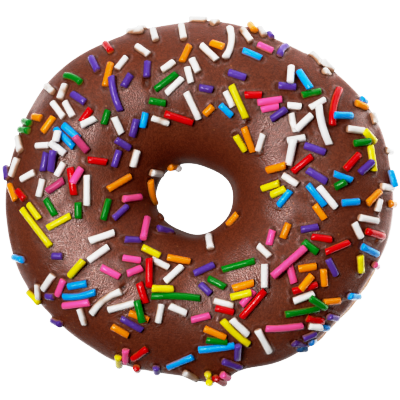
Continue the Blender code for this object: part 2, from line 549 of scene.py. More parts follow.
@dataclass(frozen=True)
class ChocolateFrosting:
    """Cocoa fondant frosting, poured warm and set: satin, with glossier patches and a fine sugary grain."""

    base: str = "72351F"
    deep: str = "6A2F1B"
    # Near-black brown painted where shade falls: in pits, in hollows and beside each sprinkle.
    painted_shade_colour: str = "1E0A05"
    speck: str = "A8683C"
    gloss: float = 0.31
    satin: float = 0.66

    def made(self) -> bpy.types.Material:
        """Builds the material.

        The colour is cloudy by a little, with a few tan specks. The frosting set smoother in islands, so the
        soft light lies on it in patches, and the grain of its sugar, 0.3 mm, makes the sheen sparkle. The mark's
        red part is painted shade: a near-black brown inside pits and hollows, and in a thin ring right beside
        each sprinkle. Its green part is how smooth the island there is.

        Returns:
            The material.
        """
        material, tree, shader = new_material("chocolate_fondant_frosting")
        place = add_node(tree, "TexCoord").outputs["Object"]
        cloud = add_node(tree, "TexNoise", {"Vector": place, "Scale": 75.0, "Detail": 3.0, "Roughness": 0.5})
        colour = ramp(
            add_node(tree, "ValToRGB", {"Fac": cloud.outputs[0]}), [(0.35, self.deep), (0.65, self.base)]
        )
        marks = add_node(
            tree, "SeparateColor", {0: add_node(tree, "Attribute", attribute_name="marks").outputs["Color"]}
        )
        # Grains of sugar, 0.3 mm: each is a low bump, a little lighter or darker than the next.
        grain = add_node(tree, "TexVoronoi", {"Vector": place, "Scale": 3400.0})
        chance = add_node(tree, "SeparateColor", {0: grain.outputs["Color"]})
        lighter = add_node(tree, "MapRange", {"Value": chance.outputs[0], "To Min": 0.72, "To Max": 1.28})
        grained = add_node(tree, "HueSaturation", {"Color": colour, "Value": lighter.outputs["Result"]})
        # Specks of uncoloured sugar, 0.3 mm across and some 3 mm apart.
        spots = add_node(tree, "TexVoronoi", {"Vector": place, "Scale": 330.0})
        speck = add_node(
            tree,
            "MapRange",
            {"Value": spots.outputs["Distance"], "From Min": 0.04, "From Max": 0.09, "To Min": 0.7, "To Max": 0.0},
        )
        specked = add_node(
            tree,
            "Mix",
            {0: speck.outputs["Result"], 6: grained.outputs[0], 7: linear(self.speck)},
            data_type="RGBA",
        )
        # Painted shade: the red mark mixes in the near-black brown in pits, in hollows and beside each sprinkle.
        painted_shade = add_node(
            tree, "Mix", {0: marks.outputs[0], 6: specked.outputs[2], 7: linear(self.painted_shade_colour)}, data_type="RGBA"
        )
        tree.links.new(painted_shade.outputs[2], shader.inputs["Base Color"])
        patches = add_node(tree, "TexNoise", {"Vector": place, "Scale": 130.0, "Detail": 3.0, "Roughness": 0.6})
        smoothness = add_node(
            tree, "Math", {0: patches.outputs[0], 1: 0.6, 2: marks.outputs[1]}, operation="MULTIPLY_ADD"
        )
        shine = add_node(
            tree,
            "MapRange",
            {
                "Value": smoothness.outputs[0],
                "From Min": 0.22,
                "From Max": 1.1,
                "To Min": self.satin,
                "To Max": self.gloss,
            },
        )
        tree.links.new(shine.outputs["Result"], shader.inputs["Roughness"])
        # Slow dimples 2 mm apart under the grain.
        dimples = add_node(tree, "TexNoise", {"Vector": place, "Scale": 480.0, "Detail": 2.0, "Roughness": 0.5})
        slow = add_node(tree, "Bump", {"Height": dimples.outputs[0], "Distance": 0.00025, "Strength": 0.15})
        fine = add_node(
            tree,
            "Bump",
            {"Height": grain.outputs["Distance"], "Distance": 0.00008, "Strength": 0.9, "Normal": slow.outputs[0]},
            invert=True,
        )
        tree.links.new(fine.outputs[0], shader.inputs["Normal"])
        shader.inputs["IOR"].default_value = 1.5
        shader.inputs["Specular Tint"].default_value = linear("FFF6F2")
        # The smooth places have a skin of clear sugar.
        sugar = add_node(tree, "MapRange", {"Value": smoothness.outputs[0], "To Min": 0.2, "To Max": 1.0})
        tree.links.new(sugar.outputs["Result"], shader.inputs["Specular IOR Level"])
        return material


class Sugar(Enum):
    """The eight colours of the sprinkles: each one's word, and the sRGB colour of its sugar."""

    WHITE = ("white", "F8F6F4")
    YELLOW = ("yellow", "F4E000")
    ORANGE = ("orange", "FF9200")
    RED = ("red", "D20012")
    PINK = ("pink", "FF5EA2")
    PURPLE = ("purple", "6441A0")
    BLUE = ("blue", "00A6F8")
    GREEN = ("green", "008620")

    @property
    def word(self) -> str:
        """The colour's word, as pieces and slots use it."""
        return self.value[0]

    @property
    def colour(self) -> str:
        """The sugar's sRGB colour."""
        return self.value[1]


@dataclass(frozen=True)
class GlazedSugar:
    """Pressed sugar paste under confectioner's glaze: an even strong colour with a narrow soft highlight."""

    sugar: Sugar
    roughness: float = 0.17
    # Tan brown near the frosting: partly the frosting's stain, partly painted shade and bounce light.
    stain_and_shade: str = "A8703E"
    # Near-black film: partly frosting smeared on, partly painted shade on sprinkles lying in shadow.
    smear_and_shade: str = "3A1A12"

    def made(self) -> bpy.types.Material:
        """Builds the material.

        Marks: red is the tan brown near the frosting, partly the frosting's stain on the sugar and partly painted
        shade and bounce light from the frosting; green is a near-black film, partly frosting smeared over it and
        partly painted shade on sprinkles that lie in shadow; and blue is how much lighter or darker this sprinkle
        is than the rest.

        Returns:
            The material.
        """
        material, tree, shader = new_material("glazed_sugar_" + self.sugar.word)
        place = add_node(tree, "TexCoord").outputs["Object"]
        marks = add_node(
            tree, "SeparateColor", {0: add_node(tree, "Attribute", attribute_name="marks").outputs["Color"]}
        )
        light = add_node(
            tree, "MapRange", {"Value": marks.outputs[2], "To Min": 0.88, "To Max": 1.06}
        ).outputs["Result"]
        tinted = add_node(tree, "HueSaturation", {"Color": linear(self.sugar.colour), "Value": light})
        # Smear and painted shade: the green mark mixes in the near-black film.
        smear_and_shade = add_node(tree, "Mix", {0: marks.outputs[1]}, data_type="RGBA")
        tree.links.new(tinted.outputs[0], smear_and_shade.inputs[6])
        smear_and_shade.inputs[7].default_value = linear(self.smear_and_shade)
        # Mixes in the tan brown near the frosting: partly stain, partly painted shade and bounce light.
        stain_and_shade_mix = add_node(tree, "Mix", {0: marks.outputs[0]}, data_type="RGBA")
        tree.links.new(smear_and_shade.outputs[2], stain_and_shade_mix.inputs[6])
        stain_and_shade_mix.inputs[7].default_value = linear(self.stain_and_shade)
        tree.links.new(stain_and_shade_mix.outputs[2], shader.inputs["Base Color"])
        # Small unevenness of the pressed paste, 0.4 mm, which breaks the highlight up into dots.
        paste = add_node(tree, "TexNoise", {"Vector": place, "Scale": 2500.0, "Detail": 2.0, "Roughness": 0.6})
        bump = add_node(tree, "Bump", {"Height": paste.outputs[0], "Distance": 0.00012, "Strength": 0.5})
        tree.links.new(bump.outputs[0], shader.inputs["Normal"])
        shine = add_node(
            tree,
            "MapRange",
            {
                "Value": paste.outputs[0],
                "From Min": 0.3,
                "From Max": 0.7,
                "To Min": self.roughness - 0.04,
                "To Max": self.roughness + 0.08,
            },
        )
        tree.links.new(shine.outputs["Result"], shader.inputs["Roughness"])
        shader.inputs["IOR"].default_value = 1.5
        shader.inputs["Specular IOR Level"].default_value = 0.3
        return material


# ---------------------------------------------------------------------------------------------------------
# Sprinkles
# ---------------------------------------------------------------------------------------------------------


@dataclass(frozen=True)
class Rod:
    """One sprinkle as it lies, seen from above.

    Attributes:
        sugar: its colour.
        x0, y0: one end of its axis, in mm.
        x1, y1: the other end.
        bow: how far its middle stands off the straight line, to the left of the way from end to end, in mm.
        smear_and_shade: how much near-black film it gets, from 0 to 1: partly frosting smeared on it, partly
        painted shade where it lies in shadow.
    """

    sugar: Sugar
    x0: float
    y0: float
    x1: float
    y1: float
    bow: float = 0.0
    smear_and_shade: float = 0.0


W, Y, O, R = Sugar.WHITE, Sugar.YELLOW, Sugar.ORANGE, Sugar.RED
K, P, B, G = Sugar.PINK, Sugar.PURPLE, Sugar.BLUE, Sugar.GREEN

# The sprinkles, placed one by one. Where two cross, the later one lies on the earlier.
LAYOUT: tuple[Rod, ...] = (
    # Top left.
    Rod(R, -22.0, 36.7, -20.4, 34.6),
    Rod(P, -25.1, 33.3, -23.6, 30.2),
    Rod(O, -20.5, 32.0, -21.8, 26.6),
    Rod(P, -20.5, 28.9, -18.4, 20.8, -0.4),
    Rod(W, -16.8, 33.4, -19.1, 30.6),
    Rod(P, -15.8, 29.4, -17.6, 26.4, 0.0, 0.12),
    Rod(G, -31.2, 29.2, -27.3, 27.5, 0.4),
    Rod(W, -35.6, 26.8, -33.9, 25.2, 0.0, 0.08),
    Rod(W, -31.4, 26.8, -32.8, 23.3),
    Rod(P, -29.5, 24.9, -26.4, 22.8),
    Rod(W, -33.9, 22.7, -31.3, 19.2),
    Rod(W, -31.2, 23.0, -29.3, 19.5),
    Rod(R, -25.1, 21.4, -27.4, 18.3),
    Rod(W, -24.0, 19.2, -27.4, 17.4),
    Rod(G, -21.1, 21.0, -22.1, 17.7),
    Rod(W, -19.9, 19.4, -18.1, 15.4),
    Rod(O, -38.6, 19.3, -36.8, 19.0, 0.0, 0.08),
    Rod(G, -40.8, 18.6, -39.2, 18.0),
    Rod(G, -42.0, 16.3, -39.3, 16.0),
    Rod(O, -33.6, 19.7, -36.2, 16.1),
    Rod(B, -31.6, 17.9, -27.9, 14.7),
    Rod(B, -33.1, 17.0, -28.8, 12.6),
    # Top.
    Rod(W, -14.4, 40.8, -13.2, 40.3),
    Rod(W, -16.5, 39.3, -12.9, 39.7),
    Rod(W, -10.9, 40.2, -9.9, 36.9),
    Rod(W, -4.2, 41.2, -3.4, 37.0),
    Rod(W, -2.2, 42.0, 1.7, 42.0),
    Rod(W, 2.9, 41.3, 4.2, 41.5),
    Rod(W, 7.4, 39.8, 6.4, 32.9, 0.85),
    Rod(W, 10.3, 39.8, 12.6, 36.6),
    Rod(O, 12.0, 41.0, 13.1, 39.4),
    Rod(W, 14.0, 40.0, 15.2, 38.4, 0.0, 0.15),
    Rod(B, 10.1, 34.9, 14.5, 33.0),
    Rod(K, 13.7, 36.2, 17.2, 34.6),
    Rod(W, -14.6, 35.6, -11.7, 33.6),
    Rod(P, -11.9, 32.7, -12.1, 29.0),
    Rod(W, -5.3, 32.3, -8.3, 30.2),
    Rod(O, -2.4, 36.0, -4.2, 32.2),
    Rod(W, -2.0, 33.1, -0.4, 29.8),
    Rod(W, -2.8, 31.1, -1.8, 27.3),
    Rod(G, -5.1, 29.4, -10.1, 25.7),
    Rod(W, -3.9, 28.6, -7.6, 25.0),
    Rod(W, 0.5, 36.1, 4.2, 32.6),
    Rod(O, 2.8, 36.7, 5.8, 35.6),
    Rod(P, 6.9, 29.8, 10.8, 28.5),
    Rod(P, 0.1, 26.3, 3.2, 25.7, 0.0, 0.2),
    Rod(Y, 7.4, 26.8, 10.9, 19.0),
    Rod(B, 4.7, 22.4, 7.5, 19.7),
    Rod(W, 5.9, 25.2, 7.7, 21.4),
    Rod(O, 3.4, 21.9, 1.5, 20.0),
    Rod(W, -2.8, 25.3, 0.2, 19.0),
    Rod(R, -7.9, 20.3, -1.2, 18.1),
    Rod(W, -11.2, 19.3, -7.3, 18.0),
    Rod(B, -12.3, 20.5, -13.0, 16.9),
    Rod(P, -14.4, 19.0, -15.5, 14.8),
    Rod(G, -11.6, 23.3, -7.7, 22.6),
    Rod(R, 10.7, 24.1, 14.6, 24.1),
    Rod(K, 13.6, 22.5, 19.4, 23.3),
    Rod(K, 15.0, 21.0, 19.1, 21.8),
    # Top right.
    Rod(P, 16.0, 38.8, 16.8, 37.8),
    Rod(P, 19.9, 36.3, 18.2, 34.0, -0.35),
    Rod(P, 18.4, 26.7, 22.5, 26.3),
    Rod(W, 21.4, 31.1, 21.1, 27.2),
    Rod(G, 23.9, 24.4, 28.2, 25.3),
    Rod(B, 23.1, 30.0, 25.8, 25.8),
    Rod(W, 26.0, 34.2, 28.5, 31.6, 0.3, 0.12),
    Rod(W, 28.6, 32.2, 31.3, 29.9),
    Rod(W, 29.0, 30.2, 30.0, 29.3),
    Rod(R, 32.0, 25.8, 30.3, 17.3, -0.65),
    Rod(W, 29.2, 23.3, 25.7, 21.4),
    Rod(W, 27.9, 21.9, 30.4, 12.8, -0.45),
    Rod(B, 31.3, 19.6, 35.5, 19.6),
    Rod(B, 37.5, 23.5, 38.6, 22.7),
    Rod(O, 36.6, 22.5, 39.2, 21.3),
    Rod(W, 40.0, 20.4, 40.8, 18.0),
    Rod(W, 34.4, 16.6, 38.3, 16.0),
    Rod(Y, 38.5, 15.9, 40.8, 13.4),
    Rod(W, 20.3, 21.8, 23.4, 21.5),
    Rod(P, 20.3, 21.2, 16.8, 18.8),
    Rod(W, 21.0, 20.3, 22.1, 16.0, -0.25),
    Rod(W, 26.2, 19.8, 22.5, 16.2),
    # Left.
    Rod(W, -42.2, 15.3, -41.5, 11.4),
    Rod(W, -42.1, 10.2, -43.6, 5.9),
    Rod(P, -45.1, 7.8, -44.7, 5.1),
    Rod(W, -38.2, 6.6, -41.3, 4.9),
    Rod(O, -44.0, 3.7, -42.6, 0.1),
    Rod(R, -42.9, 2.4, -40.6, 0.3, 0.0, 0.15),
    Rod(Y, -39.6, -0.8, -37.1, -4.2),
    Rod(Y, -41.1, -1.8, -34.4, -10.6),
    Rod(B, -43.5, -12.9, -40.5, -13.9),
    Rod(W, -37.7, 12.1, -34.6, 12.3),
    Rod(W, -34.5, 13.4, -31.1, 10.8),
    Rod(W, -32.8, 16.2, -33.4, 13.7),
    Rod(P, -35.3, 11.1, -36.1, 6.7),
    Rod(P, -33.8, 11.5, -34.5, 6.7),
    Rod(W, -31.5, 8.9, -33.3, 5.8),
    Rod(W, -35.9, 5.6, -36.9, 1.4),
    Rod(K, -31.9, 4.5, -35.7, 1.9, 0.0, 0.5),
    Rod(G, -35.6, 0.6, -33.3, -3.3),
    Rod(G, -28.5, -0.3, -28.4, -4.2),
    Rod(Y, -29.6, -3.2, -35.0, -6.1),
    Rod(W, -26.2, 6.1, -26.2, -1.2),
    Rod(R, -30.1, 7.8, -29.2, 1.3),
    Rod(K, -27.2, 7.5, -29.2, 4.0),
    Rod(K, -29.1, 14.6, -26.1, 11.1, 0.0, 0.45),
    Rod(R, -25.9, 9.6, -21.4, 9.0),
    Rod(P, -19.3, 14.1, -15.9, 12.0),
    Rod(P, -18.5, 11.9, -19.7, 8.0),
    Rod(W, -14.5, 11.8, -15.6, 7.9),
    Rod(O, -15.9, 5.7, -21.2, 2.6),
    Rod(G, -21.0, 0.3, -22.3, -4.5),
    Rod(K, -17.7, 0.3, -13.5, 0.8),
    Rod(P, -16.8, -1.2, -19.9, -4.1),
    Rod(W, -19.7, -7.5, -25.5, -9.4),
    Rod(W, -21.0, -10.7, -25.7, -14.0),
    Rod(P, -17.2, -9.4, -13.4, -9.6, 0.0, 0.12),
    Rod(P, -34.1, -12.8, -31.7, -12.9),
    Rod(K, -17.7, -13.3, -13.6, -13.9),
    Rod(Y, -26.7, -13.9, -30.1, -17.6),
    # Round the hole.
    Rod(Y, 8.5, 15.1, 10.8, 11.5),
    Rod(O, 10.4, 17.0, 12.6, 11.2),
    Rod(W, 14.9, 15.5, 13.5, 11.2),
    Rod(W, -11.2, 6.5, -8.4, 6.1),
    Rod(O, -6.8, 7.6, -5.3, 7.9),
    Rod(W, -4.9, 7.8, -4.3, 6.6, 0.0, 0.45),
    Rod(O, -11.5, 5.4, -10.2, -1.6, -0.4),
    Rod(P, -9.7, -6.4, -6.1, -7.4),
    Rod(K, -12.0, -3.9, -13.1, -9.0),
    Rod(Y, -13.1, -10.7, -8.9, -12.8),
    Rod(O, 9.0, -3.1, 6.8, -5.6),
    Rod(W, 2.2, -7.7, 2.8, -11.7),
    Rod(O, -7.7, -13.3, -2.4, -14.3),
    Rod(W, -11.1, -13.6, -7.0, -15.5),
    Rod(W, 13.7, -10.4, 16.5, -13.1),
    # Right.
    Rod(W, 20.4, 14.1, 24.7, 14.9),
    Rod(W, 22.2, 14.0, 21.0, 7.9),
    Rod(P, 24.5, 13.2, 29.2, 11.5),
    Rod(R, 26.1, 10.5, 21.5, 6.8),
    Rod(R, 37.1, 10.6, 33.8, 7.0),
    Rod(Y, 39.6, 12.7, 40.5, 6.7),
    Rod(G, 36.0, 13.2, 40.0, 13.7),
    Rod(P, 40.4, 8.9, 37.3, 6.3),
    Rod(B, 31.2, 6.3, 35.5, 4.7),
    Rod(G, 34.0, 4.3, 31.5, 3.0),
    Rod(P, 25.0, 7.1, 29.5, 4.3),
    Rod(O, 15.8, 6.8, 20.1, 7.9),
    Rod(W, 19.4, 6.1, 22.9, 3.7),
    Rod(Y, 14.6, 2.6, 18.7, 4.0),
    Rod(Y, 16.8, 1.3, 20.1, 2.8),
    Rod(B, 20.9, 2.2, 18.4, -1.2),
    Rod(B, 25.3, 3.8, 29.3, -1.2),
    Rod(W, 27.9, 3.4, 31.9, -1.6),
    Rod(B, 32.8, -0.8, 36.9, -0.5),
    Rod(O, 26.8, -1.0, 29.2, -4.4),
    Rod(W, 42.2, 3.2, 44.9, 2.8),
    Rod(B, 44.3, 6.9, 45.3, 3.1),
    Rod(W, 43.6, 11.6, 44.8, 11.3),
    Rod(W, 41.9, 0.2, 41.2, -2.6),
    Rod(O, 42.5, 2.1, 39.7, -0.8),
    Rod(O, 44.2, -0.8, 45.2, -1.0),
    Rod(W, 37.0, -4.0, 41.3, -4.9),
    Rod(W, 36.0, -5.1, 37.6, -8.5),
    Rod(R, 38.4, -7.1, 42.7, -8.5),
    Rod(B, 37.5, -10.6, 41.3, -12.6),
    Rod(O, 20.8, -5.3, 19.4, -8.8),
    Rod(P, 23.6, -6.8, 27.7, -6.1),
    Rod(R, 26.1, -8.4, 30.7, -9.1),
    Rod(G, 24.2, -9.5, 27.6, -12.1),
    Rod(R, 29.2, -12.1, 34.7, -9.8),
    Rod(K, 17.1, -6.9, 16.2, -10.4),
    Rod(Y, 37.3, -12.8, 37.5, -16.7),
    Rod(P, 29.8, -13.5, 31.7, -17.2),
    Rod(K, 40.5, -14.8, 41.2, -15.3, 0.0, 0.25),
    Rod(O, 22.8, -16.1, 26.9, -15.5),
    Rod(K, 21.3, -14.3, 22.7, -19.6),
    Rod(K, 24.4, -10.9, 16.7, -17.7),
    # Bottom left.
    Rod(W, -33.7, -17.4, -36.0, -20.7),
    Rod(Y, -39.6, -21.1, -37.1, -23.6),
    Rod(W, -37.6, -19.5, -37.7, -22.9),
    Rod(P, -35.5, -21.9, -33.8, -22.1),
    Rod(K, -31.4, -18.4, -33.4, -22.5),
    Rod(B, -30.4, -19.9, -26.1, -19.2),
    Rod(B, -31.4, -22.4, -23.9, -21.3, -0.4),
    Rod(W, -27.7, -25.0, -26.5, -28.6),
    Rod(K, -31.5, -24.4, -26.0, -24.2),
    Rod(W, -18.2, -20.8, -25.1, -26.1, -0.8),
    Rod(W, -21.1, -25.4, -14.8, -23.8),
    Rod(K, -22.6, -15.4, -18.2, -17.7),
    Rod(K, -16.7, -17.1, -13.2, -15.7),
    Rod(O, -20.2, -29.1, -16.3, -31.3),
    Rod(O, -16.2, -25.9, -11.7, -27.7),
    Rod(P, -17.9, -26.9, -12.9, -29.7),
    Rod(G, -14.2, -23.4, -12.9, -28.5),
    Rod(P, -34.0, -27.7, -32.0, -28.7),
    Rod(Y, -18.5, -36.1, -18.2, -38.4),
    Rod(K, -16.9, -34.2, -16.9, -37.9),
    Rod(R, -15.6, -36.6, -12.3, -34.2),
    Rod(R, -14.5, -38.6, -14.3, -39.2),
    # Bottom.
    Rod(R, -11.6, -13.2, -11.7, -20.1),
    Rod(R, -13.8, -19.0, -12.2, -23.8),
    Rod(P, 3.5, -14.9, -1.2, -17.0),
    Rod(G, 13.0, -14.0, 5.3, -16.1),
    Rod(W, -4.0, -15.6, -7.9, -19.1),
    Rod(G, 2.3, -18.1, 6.2, -20.2),
    Rod(P, 0.4, -19.6, 2.8, -21.9),
    Rod(O, 7.8, -20.6, 12.6, -19.3),
    Rod(K, 12.6, -20.7, 9.6, -24.1),
    Rod(Y, 7.3, -22.8, 12.0, -21.7),
    Rod(R, 9.6, -27.4, 15.0, -21.2),
    Rod(W, 15.5, -14.7, 15.5, -20.3),
    Rod(Y, -10.8, -20.3, -6.0, -20.4),
    Rod(G, -11.6, -21.9, -0.2, -22.4, 0.3),
    Rod(W, -8.7, -24.0, -9.5, -28.3),
    Rod(W, -6.8, -24.5, -2.7, -26.4),
    Rod(K, -1.9, -27.6, 2.5, -26.5),
    Rod(W, 3.4, -23.0, 8.1, -24.2),
    Rod(R, 3.8, -25.1, 8.0, -26.1),
    Rod(Y, 5.6, -27.5, 11.8, -33.1, -0.25),
    Rod(W, 7.6, -27.0, 11.4, -30.6),
    Rod(O, 1.2, -29.7, 6.2, -31.8),
    Rod(B, -0.1, -34.6, 8.2, -33.6, -0.15),
    Rod(G, 1.7, -32.4, 6.6, -33.4),
    Rod(P, 9.1, -33.3, 8.9, -36.8),
    Rod(P, 5.2, -37.1, 10.1, -38.8),
    Rod(B, -7.4, -38.6, -1.2, -36.1),
    Rod(P, -9.9, -38.6, -9.7, -39.8),
    Rod(W, -3.4, -39.9, -0.4, -41.4, 0.0, 0.3),
    Rod(Y, 2.0, -40.0, 2.3, -41.0, 0.0, 0.1),
    Rod(Y, 2.3, -41.9, 2.6, -42.3),
    Rod(R, 3.8, -41.0, 6.0, -42.3, 0.0, 0.3),
    Rod(K, 5.3, -40.3, 6.8, -41.2),
    # Bottom right.
    Rod(O, 28.4, -15.9, 28.7, -19.9),
    Rod(R, 21.9, -20.8, 27.6, -19.2),
    Rod(O, 26.0, -17.2, 23.4, -20.5),
    Rod(W, 21.8, -23.2, 26.5, -21.4),
    Rod(O, 28.7, -23.7, 32.6, -23.3),
    Rod(G, 20.0, -26.3, 27.9, -24.9),
    Rod(G, 25.7, -22.6, 29.3, -25.0),
    Rod(R, 25.2, -27.2, 28.9, -27.9),
    Rod(P, 29.7, -27.2, 31.8, -27.6),
    Rod(B, 28.0, -29.3, 30.1, -29.3),
    Rod(W, 25.1, -29.2, 28.1, -29.6),
    Rod(K, 15.5, -29.8, 24.0, -29.1, -0.2),
    Rod(W, 13.7, -29.8, 16.5, -34.9),
    Rod(P, 27.0, -30.8, 24.2, -32.0),
    Rod(P, 22.1, -32.8, 25.1, -33.6, 0.0, 0.35),
    Rod(B, 34.8, -22.2, 37.1, -22.3),
    Rod(B, 25.6, -33.1, 26.3, -32.7, 0.0, 0.45),
    Rod(B, 22.9, -34.4, 24.5, -34.3, 0.0, 0.75),
)


@dataclass(frozen=True)
class Sight:
    """The place that the layout is seen from: points higher than the level plane seem to move away from it.

    Attributes:
        x, y, z: the eye's place in mm.
        level: the height at which the layout's millimetres are true.
    """

    x: float
    y: float
    z: float
    level: float = 14.0

    def dropped(self, seen: Array, height: Array) -> Array:
        """Where in plan a seen point is, if it is at this height.

        Formula: along the line from the eye through the seen point on the level plane, the share
        (height less level) over (eye's height less level) of the way back towards the eye.

        Args:
            seen: x and y on the level plane, along the last axis.
            height: the true heights.

        Returns:
            x and y in plan.
        """
        share = ((height - self.level) / (self.z - self.level))[..., None]
        return seen + (np.array((self.x, self.y)) - seen) * share


def closest(a0: Array, a1: Array, b0: Array, b1: Array) -> tuple[Array, Array, Array, Array]:
    """Nearest points of pairs of straight segments.

    Formula: the shares along both that make the joining line square to both, then each share held between 0
    and 1 and the other worked out again from it.

    Args:
        a0, a1: ends of the first segments.
        b0, b1: ends of the second segments.

    Returns:
        Distance, the share along the first, the share along the second, and the unit way from first to second.
    """
    along_a, along_b, apart = a1 - a0, b1 - b0, a0 - b0
    aa, bb = (along_a**2).sum(-1) + 1e-9, (along_b**2).sum(-1) + 1e-9
    ab, ar, br = (along_a * along_b).sum(-1), (along_a * apart).sum(-1), (along_b * apart).sum(-1)
    square = aa * bb - ab * ab
    share_a = np.where(square > 1e-6, np.clip((ab * br - ar * bb) / np.maximum(square, 1e-6), 0, 1), 0.5)
    share_b = np.clip((ab * share_a + br) / bb, 0, 1)
    share_a = np.clip((ab * share_b - ar) / aa, 0, 1)
    joining = (b0 + along_b * share_b[..., None]) - (a0 + along_a * share_a[..., None])
    distance = np.linalg.norm(joining, axis=-1)
    return distance, share_a, share_b, joining / np.maximum(distance, 1e-6)[..., None]


@dataclass
class SprinkleBed:
    """All the sprinkles, laid on the frosting.

    Attributes:
        form: the doughnut's form.
        sight: where the layout is seen from.
        rods: the layout.
        radius: half a sprinkle's thickness, in mm.
        sunk: how deep its underside is below the frosting's skin, in mm.
        least_length: the shortest real sprinkle, in mm.
        most_steep: the longest that a sprinkle down the steep side is taken to be, in mm.
        buried: how far a sprinkle on end is pushed in, as a share of its length.
        sides: how many sides its round has.
    """

    form: RingForm
    sight: Sight
    rods: tuple[Rod, ...] = LAYOUT
    radius: float = 0.875
    sunk: float = 0.5
    least_length: float = 2.2
    most_steep: float = 4.6
    buried: float = 0.1
    sides: int = 10
    start: Array = field(init=False)
    end: Array = field(init=False)
    up: Array = field(init=False)
    bow: Array = field(init=False)
    lift: Array = field(init=False)
    radii: Array = field(init=False)
    steep: Array = field(init=False)

    def __post_init__(self) -> None:
        """Lays the sprinkles: onto the skin, apart from their neighbours, and over the ones they cross."""
        self.bow = np.array([rod.bow for rod in self.rods])
        dice = np.random.default_rng(11)
        self.radii = self.radius * dice.uniform(0.94, 1.06, len(self.rods))
        seen = np.array([((rod.x0, rod.y0), (rod.x1, rod.y1)) for rod in self.rods]) + self.form.layout_origin()
        plan = self._dropped(seen)
        for _ in range(6):
            self._lay(plan)
            plan = plan + self._shoves()[:, None, :]
        self._lay(plan)
        self.lift = self._lifts()
        # Lifted off a slope, a sprinkle is seen too far out, so both its ends are laid that much further in.
        lifted = self.lift[:, :1] + self.lift[:, 1:] * np.array((-1.0, 1.0))
        self._lay(plan - self.up[:, None, :2] * lifted[..., None])
        self.lift = self._lifts()

    def _dropped(self, seen: Array) -> Array:
        """Moves the seen ends to their true places in plan, in a few rounds as the height becomes known."""
        plan = seen
        for _ in range(4):
            turn, roll = self.form.under(plan, self.radius - self.sunk, 0.05)
            height = self.form.on_frosting(turn, roll, self.radius - self.sunk)[..., 2]
            plan = self.sight.dropped(seen, height)
        return plan

    def _lay(self, plan: Array) -> None:
        """Sets the ends of every sprinkle's axis from their places in plan.

        Formula: on the gentle slopes the axis joins the places of its ends on the skin. On the steep sides it is
        square to the normal at its middle and its way in plan is kept, so it looks short from above. Its length
        there is the length in plan over how much of it plan shows, but at least that of a real sprinkle. One
        that looks shorter than that stands on end, with its lower part buried.

        Args:
            plan: x and y of both ends of each sprinkle.
        """
        off = self.radius - self.sunk
        turn, roll = self.form.under(plan, off, 0.05)
        ends = self.form.on_frosting(turn, roll, off)
        middle_turn, middle_roll = self.form.under(plan.mean(axis=1), off, 0.07)
        middle = self.form.on_frosting(middle_turn, middle_roll, off)
        normal = self.form.normals(middle_turn, middle_roll)
        level = plan[:, 1] - plan[:, 0]
        span = np.linalg.norm(level, axis=-1)
        level = level / span[:, None]
        fall = -(level * normal[:, :2]).sum(-1) / np.maximum(normal[:, 2], 0.12)
        stand = np.sqrt(np.maximum((self.least_length / np.maximum(span, 0.3)) ** 2 - 1, 0))
        on_end = stand > np.abs(fall)
        fall = np.where(on_end, np.where(fall > 0, stand, -stand), fall)
        tangent = unit(np.concatenate((level, fall[:, None]), axis=1))
        length = np.clip(span * np.hypot(1, fall), self.least_length, np.maximum(span, self.most_steep))
        steep = 1 - smooth_step(normal[:, 2], 0.55, 0.8)[:, None]
        chord = ends[:, 1] - ends[:, 0]
        along = unit(unit(chord) * (1 - steep) + tangent * steep)
        length = np.linalg.norm(chord, axis=-1) * (1 - steep[:, 0]) + length * steep[:, 0]
        # A straight rod on a rounded surface: its middle rests on the skin and its ends stand a little off it.
        rise = np.clip(((middle - ends.mean(axis=1)) * normal).sum(-1) * 0.6, 0, 0.6)
        centre = (ends.mean(axis=1) + normal * rise[:, None]) * (1 - steep) + middle * steep
        inward = along * np.sign(along[:, 2:]) * (on_end * steep[:, 0] * length * self.buried)[:, None]
        centre = centre - inward
        self.start, self.end = centre - along * length[:, None] / 2, centre + along * length[:, None] / 2
        self.up = unit(normal - along * (normal * along).sum(-1)[:, None])
        self.steep = steep[:, 0]

    def _pairs(self) -> tuple[Array, Array]:
        """The numbers of every pair of sprinkles, the lower number first."""
        return np.triu_indices(len(self.rods), 1)

    def _shoves(self) -> Array:
        """How far each sprinkle moves in plan so that it stops running into the one beside it."""
        first, second = self._pairs()
        distance, _, _, way = closest(
            self.start[first], self.end[first], self.start[second], self.end[second]
        )
        wanted = self.radii[first] + self.radii[second]
        beside = (distance > wanted * 0.6) & (distance < wanted)
        step = way[:, :2] * (np.where(beside, wanted - distance, 0) * 0.35)[:, None]
        shoves = np.zeros((len(self.rods), 2))
        np.add.at(shoves, first, -step)
        np.add.at(shoves, second, step)
        return shoves

    def _lifts(self) -> Array:
        """How high each sprinkle's middle and its tilt stand off the skin, over the ones it crosses.

        Returns:
            For each sprinkle the lift at its middle, and how much more there is at its end than at its middle.
        """
        first, second = self._pairs()
        distance, share_low, share_high, _ = closest(
            self.start[first], self.end[first], self.start[second], self.end[second]
        )
        crossing = distance < 0.6 * (self.radii[first] + self.radii[second])
        lift = np.zeros((len(self.rods), 2))
        for upper in np.unique(second[crossing]):
            chosen = np.flatnonzero(crossing & (second == upper))
            at = share_high[chosen] * 2 - 1
            under = lift[first[chosen], 0] + lift[first[chosen], 1] * (share_low[chosen] * 2 - 1)
            needed = under + 0.86 * (self.radii[first[chosen]] + self.radii[upper]) - distance[chosen] * 0.4
            high = int(needed.argmax())
            if len(chosen) > 1 and np.ptp(at) > 0.6:
                low_at, high_at = int(at.argmin()), int(at.argmax())
                tilt = (needed[high_at] - needed[low_at]) / (at[high_at] - at[low_at])
                lift[upper] = needed[low_at] - tilt * at[low_at], tilt
            else:
